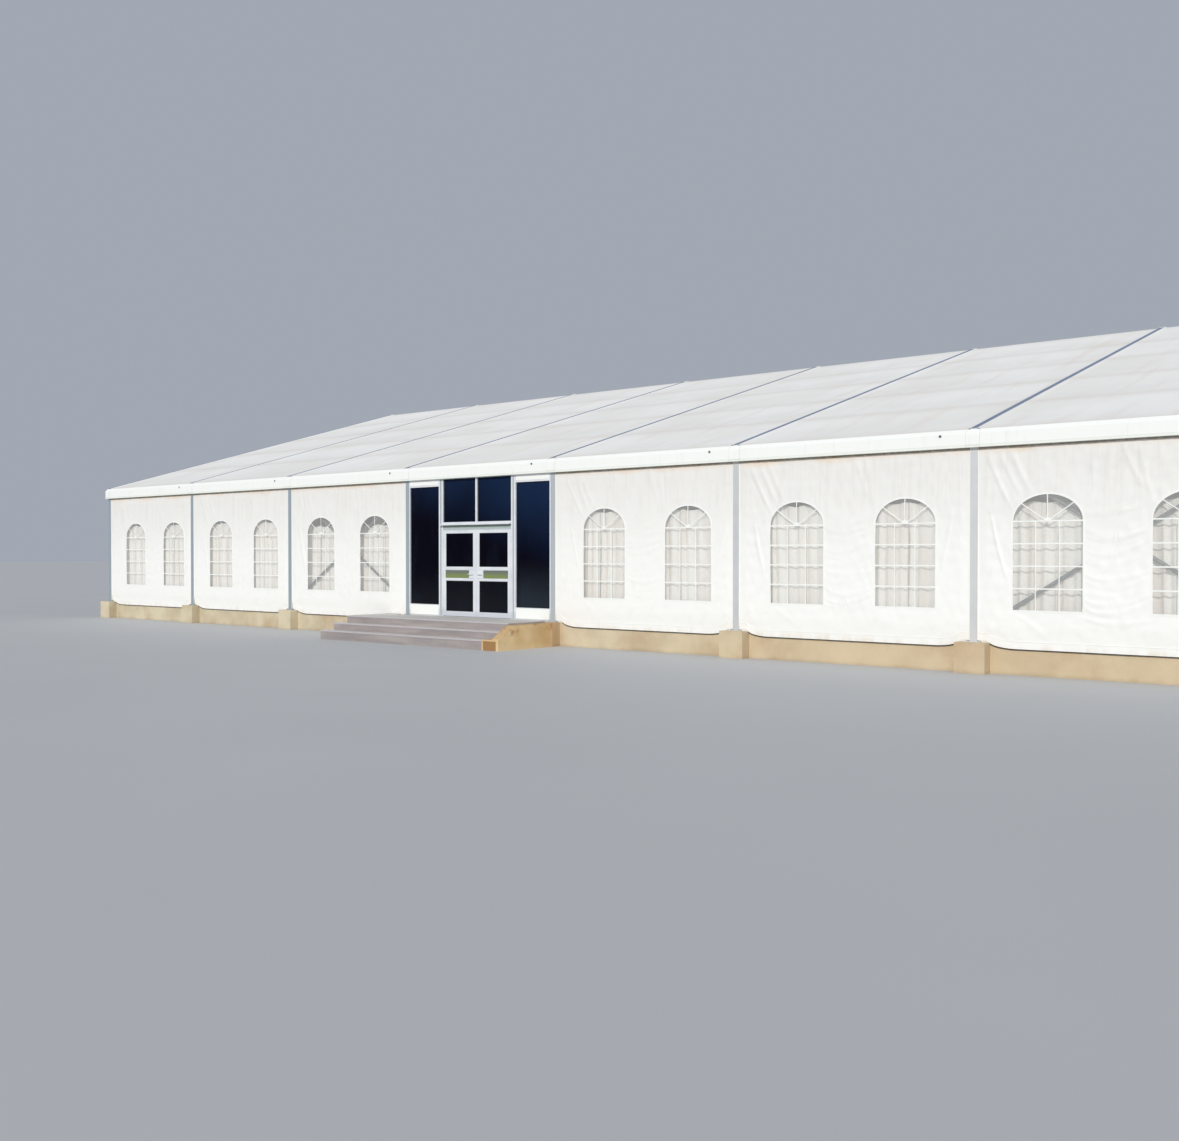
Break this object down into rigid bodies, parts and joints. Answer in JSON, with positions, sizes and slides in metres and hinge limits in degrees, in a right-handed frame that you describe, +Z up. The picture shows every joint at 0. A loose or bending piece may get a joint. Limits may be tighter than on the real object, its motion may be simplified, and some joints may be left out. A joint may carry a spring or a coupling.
{
  "type": "marquee tent",
  "caption": "Clearspan marquee tent on a concrete plinth, with pitched fabric roof, arched windows, glazed entrance with hinged double doors and entrance steps.",
  "frame": {"origin": "on the ground, in the middle of the hall's plan, on the underside of the floor slab", "axes": "+X along the front wall to the right as seen from in front of the entrance, +Y from the front into the hall, +Z up"},
  "size_m": [35.56, 27.28, 8.01],
  "materials": {
    "concrete": "rendered concrete, weathered",
    "floor": "smooth screed",
    "step_stone": "matt grey-mauve stone",
    "sand_render": "rough sand-coloured render",
    "aluminium": "anodised, satin",
    "roof_fabric": "coated fabric, faintly stained",
    "fascia_white": "white coated fabric over a profile",
    "wall_fabric": "white coated fabric, satin",
    "clear_sheet": "clear flexible sheet",
    "curtain": "matt curtain cloth",
    "frame_white": "white powder coat",
    "dark_glass": "tinted glass"
  },
  "bodies": {
    "tent": {"plinth": "concrete", "floor_slab": "floor", "entrance_steps": "step_stone", "step_cheek_wall": "sand_render", "portal_frame_1": "aluminium", "portal_frame_2": "aluminium", "portal_frame_3": "aluminium", "portal_frame_4": "aluminium", "portal_frame_5": "aluminium", "portal_frame_6": "aluminium", "portal_frame_7": "aluminium", "portal_frame_8": "aluminium", "ridge_beam": "aluminium", "eave_beam_front": "aluminium", "eave_beam_back": "aluminium", "purlin_front_1": "aluminium", "purlin_front_2": "aluminium", "purlin_front_3": "aluminium", "purlin_front_4": "aluminium", "purlin_back_1": "aluminium", "purlin_back_2": "aluminium", "purlin_back_3": "aluminium", "purlin_back_4": "aluminium", "wall_brace_front_1": "aluminium", "wall_brace_front_2": "aluminium", "wall_brace_back_1": "aluminium", "wall_brace_back_2": "aluminium", "roof_cover_1": "roof_fabric", "roof_cover_2": "roof_fabric", "roof_cover_3": "roof_fabric", "roof_cover_4": "roof_fabric", "roof_cover_5": "roof_fabric", "roof_cover_6": "roof_fabric", "roof_cover_7": "roof_fabric", "eave_fascia_front": "fascia_white", "eave_fascia_back": "fascia_white", "front_wall_left": "wall_fabric", "front_wall_right": "wall_fabric", "back_wall": "wall_fabric", "gable_wall_left": "wall_fabric", "gable_wall_right": "wall_fabric", "gable_triangle_left": "wall_fabric", "gable_triangle_right": "wall_fabric", "front_window_sheet_left": "clear_sheet", "front_window_sheet_right": "clear_sheet", "back_window_sheet": "clear_sheet", "gable_window_sheet_left": "clear_sheet", "gable_window_sheet_right": "clear_sheet", "wall_lining": "curtain", "entrance_frame": "frame_white", "sidelight_left": "dark_glass", "sidelight_right": "dark_glass", "transom_left": "dark_glass", "transom_right": "dark_glass"},
    "leaf_left": {"door_leaf_left": "frame_white", "door_glass_left": "dark_glass"},
    "leaf_right": {"door_leaf_right": "frame_white", "door_glass_right": "dark_glass"}
  },
  "joints": [
    {"name": "left_door_hinge", "type": "hinge", "parent": "tent", "child": "leaf_left", "pos_m": [-1.1725, -12.562, 0], "axis": [0, 0, -1], "range_deg": [0, 95]},
    {"name": "right_door_hinge", "type": "hinge", "parent": "tent", "child": "leaf_right", "pos_m": [1.1725, -12.562, 0], "axis": [0, 0, 1], "range_deg": [0, 95]}
  ]
}
